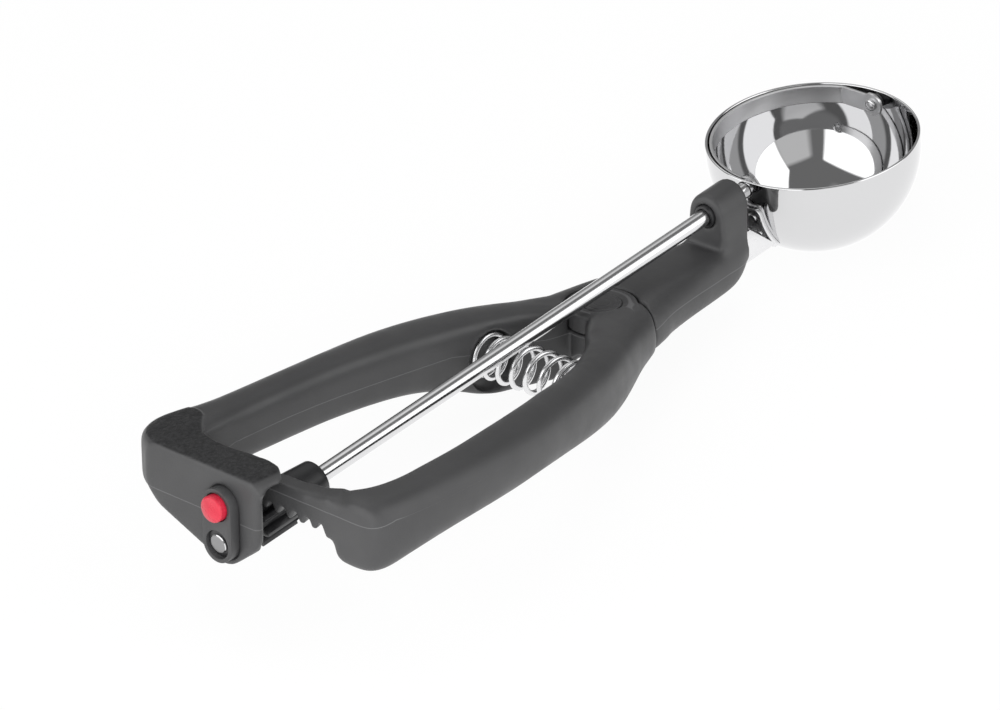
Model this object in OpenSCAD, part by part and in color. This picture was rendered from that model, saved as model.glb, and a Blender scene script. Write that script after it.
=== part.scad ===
// Lever ice cream scoop: a bowl with a sweeping scraper, turned through a shaft
// by a rack on the squeezed lever.
// Millimetres. The origin is the bowl's centre, on the shaft's axis.
// +X runs along the shaft towards the bowl's far side, +Z is up, out of the bowl.

/* [Bowl] */
// Outside diameter of the bowl
bowl_d = 57; // [50:0.5:62]
// Sheet thickness of the bowl
bowl_wall = 0.8; // [0.6:0.05:1.2]
// Height of the rim above the shaft's axis
rim_rise = 2.8; // [2.6:0.1:5]
// Sheet thickness of the bracket under the bowl
bracket_t = 1.2; // [0.8:0.1:2]
// Width of the bracket: its strap on the bowl and its channel into the handle
strap_w = 9.6; // [9:0.2:11]
// Distance of the strap's lower end below the shaft's axis
bracket_drop = 19.4; // [18.6:0.1:20.4]
// Distance of the channel's floor below the shaft's axis
channel_drop = 17.4; // [16.4:0.1:17.6]
// Diameter of a weld spot
weld_d = 2.4; // [1.8:0.1:3]

/* [Scraper] */
// Width of the scraper band
band_w = 5; // [4:0.1:5.2]
// Sheet thickness of the scraper band
band_t = 0.8; // [0.5:0.05:1.2]
// Gap between the band and the inside of the bowl
band_gap = 0.35; // [0.25:0.05:0.6]
// Length of the spacer between the band's far end and the bowl
spacer_len = 2.2; // [1.5:0.1:3]
// Diameter of the far pin
far_pin_d = 2; // [1.6:0.1:2.6]

/* [Shaft] */
// Diameter of the shaft
shaft_d = 4.3; // [4:0.1:5]
// Radial clearance of a running fit
run_gap = 0.05; // [0.03:0.01:0.08]
// Outside diameter of the bush in the front block
front_bush_d = 6.2; // [5.8:0.1:7]
// Outside diameter of the bush at the rear end
rear_bush_d = 7.4; // [6.6:0.1:8]
// Diameter of the shaft's headed rear end
shaft_head_d = 5.1; // [4.8:0.1:6]
// Diameter at the bottom of the latch groove
groove_d = 3; // [2.6:0.1:3.4]
// Width of the latch groove
groove_w = 1.6; // [1.5:0.1:1.8]

/* [Pinion and rack] */
// Number of teeth on the pinion
pinion_teeth = 9; // [9:1:10]
// Pitch diameter of the pinion
pinion_pitch_d = 11.46; // [11:0.02:12]
// Length of the pinion's teeth
pinion_len = 11.6; // [10:0.2:12.4]
// Length of the pinion's hub
hub_len = 11.6; // [9:0.2:14]
// Diameter of the hub beside the teeth
hub_rear_d = 12; // [11:0.2:12.4]
// Diameter of the hub's front face
hub_front_d = 10; // [9:0.2:11]
// Backlash at the pitch line
backlash = 0.3; // [0.2:0.02:0.5]
// Diameter of the cross pin that drives the shaft
drive_pin_d = 1.6; // [1.2:0.1:2]
// Distance from the lever's pivot to the middle of the rack
rack_reach = 124.75; // [112:0.25:140]
// Number of gullets in the rack
rack_gullets = 7; // [7:1:7]

/* [Handles] */
// Gap between the bowl and the front block, along the shaft
bowl_gap = 5.18; // [4.5:0.02:6]
// Drop of the pivot below the shaft's axis
pivot_drop = 7.4; // [7:0.1:8.4]
// Pitch of the handles to the shaft, in degrees
handle_pitch = 7.5; // [7:0.1:8]
// Distance from the middle of the rack back to the housing's rear face
housing_back = 12.95; // [12.5:0.05:14]
// Length of the neck from the pivot to the front block's front face
neck_reach = 51.5; // [46:0.1:58]
// Length of the front block along the neck
block_len = 10.7; // [9:0.1:12]
// Radius of the front block's arched top
block_r = 5.8; // [5.6:0.1:6.4]
// Radius of the knuckle round the pivot
knuckle_r = 9.4; // [8.8:0.1:10]
// Height of the knuckle's top above the pivot's datum
knuckle_top = 3; // [2.6:0.1:3.4]
// Gap between the lever and the handle's moulding
lever_gap = 0.3; // [0.25:0.05:0.4]
// Travel of the lever from open to closed, in degrees
lever_travel = 8.25; // [7:0.05:8.25]
// Diameter of the pivot pin
pivot_d = 5; // [4:0.1:6]
// Diameter of the cap over the pivot pin
cap_d = 10.4; // [9.6:0.1:11]
// Thickness of the cap over the pivot pin
cap_t = 1.2; // [1:0.1:1.4]

/* [Rear housing] */
// Thickness of the housing's rear wall
rear_wall = 2.8; // [2.6:0.1:3.4]
// Thickness of the housing's top plate
top_plate = 2.6; // [2:0.1:2.8]
// Height of the housing's top above the pivot's datum
housing_top = 8; // [7.6:0.1:8.6]
// Radius of the latch block's rounded ends
latch_r = 4.75; // [4.6:0.05:5.2]
// Distance that the latch block stands out of the rear wall
latch_proud = 2.5; // [1.5:0.1:3]
// Distance from the shaft up to the release button
button_rise = 10.1; // [9.8:0.1:11]
// Diameter of the release button
button_d = 7.4; // [6.8:0.1:7.8]
// Distance that the button stands out of the latch block
button_proud = 1.7; // [1.6:0.1:2.2]
// Travel of the release button
button_travel = 1.5; // [1.2:0.1:1.6]
// Lift of the latch plate when the button is pressed
latch_lift = 1; // [0.8:0.1:1.2]

/* [Return spring] */
// Outside diameter of the spring
spring_d = 12.6; // [12:0.2:13.4]
// Diameter of the spring's wire
wire_d = 1.4; // [1:0.1:1.6]
// Number of turns
spring_turns = 8; // [6:0.5:9]
// Distance from the pivot back to the spring's axis
spring_back = 29; // [28:0.5:31]
// Height of the spring's axis below the shaft, against the pivot's datum
spring_w = -4.9; // [-5.4:0.1:-4.8]
// Rise of the spring's axis from the handle to the lever
spring_rise = 1; // [0:0.1:2]

/* [Hidden] */
$fn = 64;
EPS = 0.01;

// Colours
CHARCOAL = [0.2, 0.2, 0.21];
BLACK = [0.09, 0.09, 0.1];
STEEL = [0.78, 0.79, 0.8];
RED = [0.85, 0.12, 0.2];

// Bowl and scraper
bowl_r = bowl_d / 2;
bowl_in_r = bowl_r - bowl_wall;
band_r = bowl_in_r - band_gap;
band_in_r = band_r - band_t;
shaft_r = shaft_d / 2;
seat_gap = 0.03;
tenon_r = 1.5;
rivet_r = 2.7;
rivet_h = 1.1;
pin_head_r = far_pin_d / 2 + 0.6;
shaft_head_t = 0.8;
eye_r = 3.2;
far_tab_x = bowl_in_r - spacer_len - band_t - 2 * seat_gap;

// Handle frame: u runs forward along the handles, v is +Y, w is up.
// The shaft's axis crosses it at a slope, so its height is a function of u.
pitch_cos = cos(handle_pitch);
pitch_sin = sin(handle_pitch);
pivot_back = bowl_r + bowl_gap + (neck_reach + pivot_drop * pitch_sin) / pitch_cos;
handle_reach = rack_reach + housing_back;
function shaft_w(u) = (pivot_drop + u * pitch_sin) / pitch_cos;
function shaft_x(u) = -pivot_back + (u + pivot_drop * pitch_sin) / pitch_cos;
function handle_x(u, w) = -pivot_back + u * pitch_cos + w * pitch_sin;

// Knuckle: the lever's disc lies on the handle's tongue.
lap_w = -2.65;
lever_floor = lap_w + lever_gap / 2;
tongue_top = lap_w - lever_gap / 2;
tongue_bottom = -8.6;
shoulder_u = 6.6;
pivot_r = pivot_d / 2;
head_r = pivot_r + 1.7;
head_h = 1.2;
cap_floor = knuckle_top - cap_t;
washer_t = 0.8;

// Rear housing, latch block and button
wall_front_u = -handle_reach + rear_wall;
latch_rear_u = -handle_reach - latch_proud;
latch_front_u = wall_front_u + 3.6;
rear_w = shaft_w(latch_rear_u);
button_w = rear_w + button_rise;
button_r = button_d / 2;
button_rear_u = latch_rear_u - button_proud;
button_len = 5;
button_floor_u = button_rear_u + button_len + button_travel + 0.6;
stem_r = 1.1;
plate_t = 1.2;
plate_u = latch_front_u - 1 - plate_t;
plate_half = 3.2;
plate_low = shaft_w(plate_u + plate_t) + groove_d / 2 / pitch_cos + seat_gap;
plate_high = button_w + 2.6;
slot_gap = 0.2;
groove_x = shaft_x(plate_u + plate_t / 2) + (groove_d / 2 + shaft_r) / 2 * pitch_sin;
shaft_rear_x = shaft_x(latch_rear_u);

// Pinion and rack
pitch_r = pinion_pitch_d / 2;
tooth_pitch = PI * pinion_pitch_d / pinion_teeth;
pressure = 25;
pinion_tip_r = pitch_r + 0.87;
pinion_root_r = pitch_r - 1.3;
base_r = pitch_r * cos(pressure);
rack_add = 0.95;
rack_ded = 1.4;
pinion_x = shaft_x(-rack_reach) - 4.5;
hub_x = pinion_x + pinion_len;
hub_front_x = hub_x + hub_len;
drive_pin_x = hub_front_x - 1.9;
drive_pin_len = 8.4;
arm_rear = rack_reach + 3.25;
arm_front = rack_reach - 3.25;
arm_end_v = 4.6;

// Front block
block_u = neck_reach - block_len;

function lerp(a, b, t) = a + (b - a) * t;

// Catmull-Rom value between p1 and p2
function smooth(p0, p1, p2, p3, t) = 0.5 * (2 * p1 + (p2 - p0) * t
    + (2 * p0 - 5 * p1 + 4 * p2 - p3) * t * t + (3 * p1 - p0 - 3 * p2 + p3) * t * t * t);

// Rows of control values, filled in with steps - 1 smooth rows between each two
function smooth_rows(rows, steps) = let (last = len(rows) - 1) [
    for (i = [0:last - 1], s = [0:steps - 1])
        smooth(rows[max(i - 1, 0)], rows[i], rows[i + 1], rows[min(i + 2, last)], s / steps),
    rows[last]
];

// Quarter arc of a corner; a is its first angle
function corner(v, w, r, a, n) = [for (i = [0:n]) [v + r * cos(a + 90 * i / n), w + r * sin(a + 90 * i / n)]];

// Closed outline of a grip: [u, inner v, outer v, bottom, top, outer corner radius]
function grip_outline(row) =
    let (
        r_in = 3,
        r_out = row[5],
        side = sign(row[2] - row[1]),
        wide = abs(row[2] - row[1]),
        tall = row[4] - row[3],
        ri = min(r_in, wide * 0.3, tall * 0.45),
        ro = min(r_out, wide * 0.6, tall * 0.48),
        flat = concat(
            corner(ri, row[3] + ri, ri, 180, 4),
            corner(wide - ro, row[3] + ro, ro, 270, 5),
            corner(wide - ro, row[4] - ro, ro, 0, 5),
            corner(ri, row[4] - ri, ri, 90, 4)
        )
    )
    [for (i = [0:len(flat) - 1]) let (p = flat[side > 0 ? i : len(flat) - 1 - i])
        [row[0], row[1] + side * p[0], p[1]]];

// Closed outline of the neck: [u, half width, bottom, top, corner radius]
function neck_outline(row) =
    let (r = min(row[4], row[1] * 0.9, (row[3] - row[2]) * 0.48))
    [for (p = concat(
        corner(-row[1] + r, row[2] + r, r, 180, 5), corner(row[1] - r, row[2] + r, r, 270, 5),
        corner(row[1] - r, row[3] - r, r, 0, 5), corner(-row[1] + r, row[3] - r, r, 90, 5)
    )) [row[0], p[0], p[1]]];

// Skin over a list of outlines with equal numbers of points, each anticlockwise about the path
module loft(rings) {
    n = len(rings[0]);
    m = len(rings);
    sides = [for (i = [0:m - 2], j = [0:n - 1]) let (a = i * n + j, b = i * n + (j + 1) % n)
        each [[a, b + n, b], [a, a + n, b + n]]];
    caps = [[for (j = [0:n - 1]) j], [for (j = [n - 1:-1:0]) (m - 1) * n + j]];
    polyhedron(points = [for (ring = rings) each ring], faces = concat(sides, caps), convexity = 6);
}

module in_handle() {
    translate([-pivot_back, 0, -pivot_drop]) rotate([0, handle_pitch, 0]) children();
}

// Cylinder along the shaft, from x0 to x1
module along_x(x0, x1, r) {
    translate([x0, 0, 0]) rotate([0, 90, 0]) cylinder(h = x1 - x0, r = r);
}

// Cylinder along u in the handle frame, from u0 to u1
module along_u(u0, u1, v, w, r) {
    translate([u0, v, w]) rotate([0, 90, 0]) cylinder(h = u1 - u0, r = r);
}

// Rows of the fixed grip: [u, inner v, outer v, bottom, top, outer corner radius]
grip_rows = [for (g = [
    [1, 17, 24.8, -6.2, 7.8, 3.4], [0.99, 17.5, 28.4, -6.6, 8, 3.4], [0.967, 18, 32, -7.2, 8.2, 3.6],
    [0.925, 19, 34, -7.4, 8.3, 4], [0.87, 19.2, 33.9, -7.5, 8.2, 5], [0.8, 19.4, 32.9, -7.5, 8, 6],
    [0.62, 18.6, 31.6, -7.7, 8, 6], [0.52, 17.3, 31, -7.9, 7.9, 6], [0.42, 15.6, 30.4, -8.8, 7.5, 6],
    [0.33, 13.9, 29.2, -10.6, 6.7, 6], [0.26, 12.6, 27.6, -12.8, 5.9, 6], [0.2, 11.2, 25.6, -14.2, 5.2, 6],
    [0.14, 8.2, 22.6, -14.2, 4.4, 6], [0.085, 4, 19.2, -13.4, 3.6, 6], [0.03, 1.5, 16.4, -12.4, 3, 6],
    [-0.02, 1, 13.6, -11, 2.2, 6], [-0.06, 1, 11, -9.4, 1, 6]
]) [-handle_reach * g[0], g[1], g[2], g[3], g[4], g[5]]];

// Rows of the neck behind the front block: [u, half width, bottom, top, corner radius]
neck_rows = [for (g = [
    [-0.1, 16.4, -10.1, 3.1, 5.5], [0.13, 14.9, -9.5, 3, 5.5], [0.28, 13.2, -9, 3.2, 5.5],
    [0.47, 11.4, -8.6, 3.4, 5], [0.66, 10, -8.2, 3.8, 4.4], [0.79, 8.9, -7.8, 4.2, 3.6],
    [0.87, 8.5, -7, 4.3, 3], [0.93, 7.9, -5.4, 4.3, 2.6], [0.97, 7.2, -3.6, 4, 2.2], [1, 6.3, -0.8, 3.5, 1.4]
]) [neck_reach * g[0], g[1], g[2], g[3], g[4]]];

// Rows of the lever's grip at rest: [u, inner v, outer v, bottom, top]
lever_rows = [for (g = [
    [arm_rear / rack_reach, -26.4, -38.2, -11.2, 6.2], [1.018, -26.2, -40.6, -11.7, 7], [0.99, -26.3, -42.4, -11.6, 7.4],
    [0.95, -29.4, -43.2, -10.4, 7.7], [0.9, -31, -43.7, -9.4, 7.9], [0.83, -31.4, -43.9, -8.5, 8],
    [0.73, -30.9, -43.6, -8, 8], [0.63, -29.6, -42.7, -7.9, 8], [0.53, -27.9, -40.7, -8.2, 7.8],
    [0.43, -25.4, -37.9, -9.2, 7.2], [0.33, -22.4, -34.4, -10.8, 6.4], [0.24, -18.2, -30.8, -11.8, 5.4],
    [0.17, -13, -27.3, -11.9, 4.7], [0.11, -6.4, -23.9, -11.3, 3.9], [0.05, -1.6, -20.3, -10.7, 3.3],
    [-0.01, -1, -17.4, -10.2, 3], [-0.051, -1, -15.7, -9.9, 3]
]) [-rack_reach * g[0], g[1], g[2], g[3], g[4], 6]];

// Plan of the lever's side of the shoulder, moved out by gap, up to v_end
shoulder_slant = 0.45;
module shoulder_side(gap, v_end) {
    polygon([
        [-40, -40], [shoulder_u + gap - (40 - 8) * shoulder_slant, -40], [shoulder_u + gap, -8],
        [shoulder_u + gap, v_end], [-40, v_end]
    ]);
}

// Space that the lever sweeps through in the handle's moulding
module lever_room(gap) {
    translate([0, 0, lever_floor - gap]) cylinder(h = 20, r = knuckle_r + gap, $fn = 96);
    translate([0, 0, lever_floor - gap]) linear_extrude(height = 20) shoulder_side(gap / 2, gap - 6.4);
}

// Outline of the housing, seen from behind, as [v, w]
wall_edge = 11.4;
lobe_r = 6.5;
lobe_turn = 293;
foot_r = 8;
foot_w = -2.2;
side_r = 7.6;
side_v = side_r - wall_edge - 0.2;
side_w = -6;
housing_side = 26.7;
plate_end_v = -12.7;
housing_outline = concat(
    [for (a = [180:12:228]) [side_v + side_r * cos(a), side_w + side_r * sin(a)]],
    [for (a = [240:(lobe_turn - 240) / 5:lobe_turn]) [0.6 + lobe_r * cos(a), rear_w + lobe_r * sin(a)]],
    [for (a = [lobe_turn:(360 - lobe_turn) / 5:360])
        [housing_side - foot_r + foot_r * cos(a), foot_w + foot_r * sin(a)]],
    corner(housing_side - 5, housing_top - 5, 5, 0, 5),
    corner(plate_end_v + 4.5, housing_top - 4.5, 4.5, 90, 5)
);

// Front edge of the housing's top plate, as [u, v], from the grip to the open side
plate_corner = 6.7;
top_front = [for (p = [
    [19.7, 27], [18.7, 24.5], [15.2, 21.6], [12.1, 18.4], [10.7, 13], [10.7, 7],
    [11.6, 1], [11.8, -4.5], [11.1, -8], [9.1, -11], [plate_corner, plate_end_v]
]) [p[0] - handle_reach, p[1]]];

module housing_shell() {
    difference() {
        translate([-handle_reach, 0, 0]) rotate([90, 0, 90])
            linear_extrude(height = 20) polygon(housing_outline);
        // The hollow in front of the rear wall, below the top plate
        translate([wall_front_u, -30, -40]) cube([40, 70, 40 + housing_top - top_plate]);
        // The top plate's curved front edge
        translate([0, 0, housing_top - top_plate - 1]) linear_extrude(height = 10)
            polygon(concat(top_front, [[30 - handle_reach, plate_end_v], [30 - handle_reach, 27]]));
        translate([plate_corner - handle_reach, -30, 0]) cube([40, 30 + plate_end_v, 20]);
        // The wall is narrower than the top plate on the open side
        translate([-handle_reach - 1, -30, -20]) cube([30, 30 - wall_edge, 20 + housing_top - top_plate - 1]);
    }
}

// Stadium through the latch block's two centres, r in radius
module latch_bar(u0, u1, r) {
    hull() {
        along_u(u0, u1, 0, rear_w, r);
        along_u(u0, u1, 0, button_w, r);
    }
}

// Arched front block: its sides spread a little below the shaft
module block_shape() {
    spread = 1.1;
    foot_w = 1;
    rings = [for (g = [[0, 0.9], [0.25, 0.4], [0.9, 0], [block_len, 0]]) let (
            u = block_u + g[0], r = block_r - g[1], foot = r + lerp(spread, 0.3, g[0] / block_len)
        ) concat(
            [[u, -foot, foot_w], [u, foot, foot_w]],
            [for (i = [0:12]) [u, r * cos(15 * i), shaft_w(u) + r * sin(15 * i)]]
        )];
    loft(rings);
}

module main_handle() {
    color(CHARCOAL) {
        difference() {
            in_handle() union() {
                loft([for (row = smooth_rows(grip_rows, 3)) grip_outline(row)]);
                loft([for (row = smooth_rows(neck_rows, 2)) neck_outline(row)]);
                block_shape();
                translate([0, 0, tongue_bottom]) cylinder(h = tongue_top - tongue_bottom, r = knuckle_r);
                housing_shell();
            }
            in_handle() lever_room(lever_gap);
            in_handle() tongue_side();
            in_handle() rack_room();
            in_handle() spring_pocket(1);
            in_handle() latch_bar(-handle_reach - 1, wall_front_u + 1, latch_r + seat_gap);
            in_handle() translate([0, 0, -30]) cylinder(h = 40, r = pivot_r + seat_gap);
            in_handle() translate([0, 0, tongue_bottom - 5])
                cylinder(h = 5 + washer_t, r = head_r + 0.3);
            along_x(shaft_x(block_u) - 15, shaft_x(neck_reach) + 5, front_bush_d / 2 + seat_gap);
            tang(seat_gap);
        }
    }
}

// Cut that leaves the tongue round beside the lever's lower part
module tongue_side() {
    difference() {
        translate([0, 0, -30]) linear_extrude(height = 30.1 + tongue_top) shoulder_side(lever_gap / 2, -0.5);
        translate([0, 0, -31]) cylinder(h = 40, r = knuckle_r);
        translate([0, 0, -31]) cube([20, 40, 40]);
    }
}

// Room for the lever's arm inside the housing and the fixed grip
module rack_room() {
    grip_v = 17;
    end_v = 24.6;
    translate([-arm_rear - 3.4, -30, -7]) cube([arm_rear - arm_front + 6.3, 30 + grip_v, 12]);
    translate([-arm_rear - 3.4, grip_v - 1, -7])
        cube([arm_rear - arm_front + 4.7, end_v - grip_v + 1, 7 + arm_tip_top + 0.5]);
}

// Notch in the lever that the end of the housing's top plate enters when the lever is closed
module plate_notch() {
    translate([0, 0, housing_top - top_plate - 0.3]) linear_extrude(height = 10)
        rotate(lever_travel) offset(delta = 0.4) polygon(concat(
            [for (i = [1:4]) top_front[len(top_front) - i]],
            [[12.7 - handle_reach, 4], [-12.3 - handle_reach, 4], [-12.3 - handle_reach, plate_end_v]]
        ));
}

// Round seat for one end of the spring; side is 1 in the handle, -1 in the lever
module spring_pocket(side) {
    depth = side > 0 ? spring_left - 0.1 : spring_right + 0.1;
    translate([-spring_back, depth, spring_axis_w(depth)]) rotate([side > 0 ? 90 : -90, 0, 0])
        cylinder(h = 12, r = spring_d / 2 + 0.6);
}
spring_left = 14.4;
spring_right = -18.6;
function spring_axis_w(v) = spring_w - v * spring_rise / (spring_left - spring_right);

// Rack gullet at the pinion, as [v, height above the shaft's axis]
gullet_half = tooth_pitch / 4 + backlash / 4;
gullet = [
    [-gullet_half - 3 * tan(pressure), pitch_r - 3], [gullet_half + 3 * tan(pressure), pitch_r - 3],
    [gullet_half - rack_ded * tan(pressure), pitch_r + rack_ded],
    [-gullet_half + rack_ded * tan(pressure), pitch_r + rack_ded]
];

// A frame for rack cutters: turned about the pivot, then laid along the shaft
module at_rack(turn) {
    rotate([0, 0, turn]) translate([0, 0, shaft_w(0)]) rotate([0, -handle_pitch, 0]) children();
}

module rack_cuts() {
    for (k = [0:rack_gullets - 1])
        at_rack(atan((k - 0.5) * tooth_pitch / rack_reach))
            translate([-rack_reach - 8, 0, 0]) rotate([90, 0, 90])
                linear_extrude(height = 14) polygon(gullet);
}

// Arm that carries the rack, from the grip's rear end to the pinion: [v, top, shift of the front edge]
arm_tip_top = 1.6;
arm_rows = [
    [-30, 6.2, -1.8], [-24, 5.2, -1.8], [-19, 4.3, -0.6], [-13, 3.6, 0], [-6, 3.4, 0],
    [-1.5, 2.6, 0.5], [1, arm_tip_top, 1], [arm_end_v, arm_tip_top, 1]
];

module arm() {
    tip_w = shaft_w(-rack_reach) + pitch_r - rack_add;
    rings = [for (g = arm_rows) let (r = 1.2, f = arm_front + g[2], low = -6) [
        [-arm_rear, g[0], low], [-arm_rear, g[0], g[1] - r], [-arm_rear + r, g[0], g[1]],
        [-f - r, g[0], g[1]], [-f, g[0], g[1] - r], [-f, g[0], low]
    ]];
    difference() {
        loft(rings);
        // Everything below the tips of the rack's teeth
        at_rack(0) translate([-rack_reach - 8, -23.8, -10]) cube([14, 40, 10 + pitch_r - rack_add]);
        rack_cuts();
    }
}

module squeeze_lever() {
    skin = 0.05;
    color(CHARCOAL) in_handle() difference() {
        union() {
            loft([for (row = smooth_rows(lever_rows, 3)) grip_outline(row)]);
            arm();
            translate([0, 0, lever_floor - 1]) cylinder(h = knuckle_top - lever_floor + 1, r = knuckle_r);
        }
        // Room for the handle's tongue
        translate([0, 0, -30]) cylinder(h = 30 + lever_floor, r = knuckle_r + lever_gap);
        translate([-knuckle_r - 5, -1.5, -30]) cube([40, 20, 30 + lever_floor]);
        // Round the knuckle's top
        difference() {
            translate([-knuckle_r, 0, -30]) cube([40, 20, 60]);
            translate([0, 0, -31]) cylinder(h = 62, r = knuckle_r + skin);
        }
        translate([-1, -6.2, -30]) difference() {
            cube([40, 20, 60]);
            translate([1, 6.2, -1]) cylinder(h = 62, r = knuckle_r + skin);
        }
        translate([0, 0, -30]) linear_extrude(height = 60) difference() {
            translate([-40, -60]) square([80, 120]);
            shoulder_side(-lever_gap / 2, 60);
            circle(r = knuckle_r + skin);
        }
        translate([0, 0, -30]) cylinder(h = 60, r = pivot_r + run_gap);
        translate([0, 0, cap_floor - head_h - 0.2]) cylinder(h = 10, r = head_r + run_gap + 0.1);
        translate([0, 0, cap_floor]) cylinder(h = 10, r = cap_d / 2 + seat_gap);
        spring_pocket(-1);
        plate_notch();
    }
}

module pivot_pin() {
    color(STEEL) in_handle() {
        translate([0, 0, tongue_bottom + 0.1]) cylinder(h = cap_floor - tongue_bottom - 0.3, r = pivot_r);
        translate([0, 0, cap_floor - head_h - 0.1]) cylinder(h = head_h - 0.1, r = head_r);
    }
}

module pivot_cap() {
    color(CHARCOAL) in_handle() translate([0, 0, cap_floor]) cylinder(h = cap_t, r = cap_d / 2);
}

module pivot_washer() {
    color(STEEL) in_handle() translate([0, 0, tongue_bottom + 0.05]) difference() {
        cylinder(h = washer_t - 0.08, r = head_r + 0.2);
        translate([0, 0, -1]) cylinder(h = 5, r = pivot_r + seat_gap);
    }
}

// Helix along v with closed end turns: t runs from 0 to 1
spring_len = spring_left - spring_right - 0.3;
coil_r = (spring_d - wire_d) / 2;
end_turns = 1;
spring_start = 28;
function spring_v(t) =
    let (turn = t * spring_turns, dead = wire_d * 1.1, live = spring_len - wire_d - 2 * dead * end_turns,
        body = spring_turns - 2 * end_turns)
    turn < end_turns ? turn * dead
        : turn > spring_turns - end_turns ? spring_len - wire_d - (spring_turns - turn) * dead
        : dead * end_turns + live * (turn - end_turns) / body;

function helix_ring(t, n) =
    let (a = spring_start - 360 * spring_turns * t, v = spring_left - 0.15 - wire_d / 2 - spring_v(t))
    [for (i = [0:n - 1]) let (b = -360 * i / n, r = coil_r + wire_d / 2 * cos(b))
        [-spring_back + r * cos(a), v + wire_d / 2 * sin(b), spring_axis_w(v) + r * sin(a)]];

module return_spring() {
    color(STEEL) in_handle() loft([for (s = [0:spring_turns * 16]) helix_ring(s / (spring_turns * 16), 8)]);
}

module shaft() {
    front_x = -band_r - seat_gap;
    color(STEEL) difference() {
        union() {
            along_x(shaft_rear_x, shaft_rear_x + shaft_head_t, shaft_head_d / 2);
            along_x(shaft_rear_x, groove_x - groove_w / 2, shaft_r);
            along_x(groove_x - groove_w / 2 - EPS, groove_x + groove_w / 2 + EPS, groove_d / 2);
            along_x(groove_x + groove_w / 2, front_x, shaft_r);
            along_x(front_x - EPS, -band_in_r + rivet_h - 0.1, tenon_r);
        }
        translate([drive_pin_x, 0, -10]) cylinder(h = 20, r = drive_pin_d / 2 + seat_gap);
    }
}

// Involute of the base circle, as an angle in degrees at radius r
function involute(r) = let (a = acos(min(1, base_r / r))) tan(a) * 180 / PI - a;
pitch_half = 90 / pinion_teeth - backlash / 4 / pitch_r * 180 / PI;
function tooth_half(r) = pitch_half - (involute(max(r, base_r)) - involute(pitch_r));
flank_steps = 5;
flank = concat([pinion_root_r], [for (i = [0:flank_steps]) lerp(base_r, pinion_tip_r, i / flank_steps)]);
pinion_outline = [for (k = [0:pinion_teeth - 1]) let (mid = 90 + (k + 0.5) * 360 / pinion_teeth) each concat(
    [for (r = flank) [r * cos(mid - tooth_half(r)), r * sin(mid - tooth_half(r))]],
    [for (i = [len(flank) - 1:-1:0]) let (r = flank[i]) [r * cos(mid + tooth_half(r)), r * sin(mid + tooth_half(r))]]
)];

module pinion() {
    slot_w = drive_pin_d + 0.3;
    color(BLACK) difference() {
        union() {
            translate([pinion_x, 0, 0]) rotate([90, 0, 90]) linear_extrude(height = pinion_len) polygon(pinion_outline);
            translate([hub_x, 0, 0]) rotate([0, 90, 0])
                cylinder(h = hub_len, r1 = hub_rear_d / 2, r2 = hub_front_d / 2);
        }
        along_x(pinion_x - 1, hub_front_x + 1, shaft_r + seat_gap);
        translate([drive_pin_x - slot_w / 2, -slot_w / 2, -drive_pin_len / 2 - 0.15])
            cube([hub_len, slot_w, drive_pin_len + 0.3]);
    }
}

module drive_pin() {
    color(STEEL) translate([drive_pin_x, 0, -drive_pin_len / 2]) cylinder(h = drive_pin_len, r = drive_pin_d / 2);
}

module thrust_washer() {
    color(STEEL) difference() {
        along_x(pinion_x - 0.85, pinion_x - 0.05, 3.6);
        along_x(pinion_x - 2, pinion_x + 1, shaft_r + seat_gap);
    }
}

module front_bush() {
    x0 = shaft_x(block_u) - 0.6;
    x1 = shaft_x(neck_reach) + 0.5;
    color(BLACK) difference() {
        along_x(x0, x1, front_bush_d / 2);
        along_x(x0 - 1, x1 + 1, shaft_r + run_gap);
    }
}

module rear_bush() {
    x0 = shaft_rear_x + shaft_head_t + run_gap;
    x1 = groove_x - groove_w / 2 - 0.5;
    color(BLACK) difference() {
        along_x(x0, x1, rear_bush_d / 2);
        along_x(x0 - 1, x1 + 1, shaft_r + run_gap);
    }
}

module scraper() {
    color(STEEL) difference() {
        union() {
            intersection() {
                difference() {
                    sphere(r = band_r, $fn = 128);
                    sphere(r = band_in_r, $fn = 128);
                }
                union() {
                    translate([-band_r - 1, 0, -band_w / 2]) cube([band_r + 1 + far_tab_x + band_t, band_r + 1, band_w]);
                    along_x(-band_r - 1, 0, eye_r);
                }
            }
            translate([far_tab_x, -0.5, -band_w / 2])
                cube([band_t, 0.5 + sqrt(pow(band_r, 2) - pow(far_tab_x + band_t, 2)), band_w]);
            along_x(far_tab_x, far_tab_x + band_t, eye_r);
        }
        along_x(-band_r - 2, 0, tenon_r + seat_gap);
        along_x(0, band_r, far_pin_d / 2 + run_gap);
    }
}

module scraper_rivet() {
    color(STEEL) difference() {
        along_x(-sqrt(pow(band_in_r, 2) - pow(rivet_r, 2)) + seat_gap, -band_in_r + rivet_h, rivet_r);
        along_x(-band_r, -band_in_r + rivet_h + 1, tenon_r + seat_gap);
    }
}

module scraper_pin() {
    color(STEEL) {
        along_x(far_tab_x - 1, far_tab_x - 0.1, pin_head_r);
        along_x(far_tab_x - 0.5, bowl_r + 0.9, far_pin_d / 2);
        along_x(bowl_r + 0.1, bowl_r + 0.9, pin_head_r);
    }
}

module pin_spacer() {
    color(BLACK) difference() {
        along_x(far_tab_x + band_t + 0.1, bowl_in_r - 0.15, far_pin_d / 2 + 1);
        along_x(far_tab_x, bowl_r, far_pin_d / 2 + seat_gap);
    }
}

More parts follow.
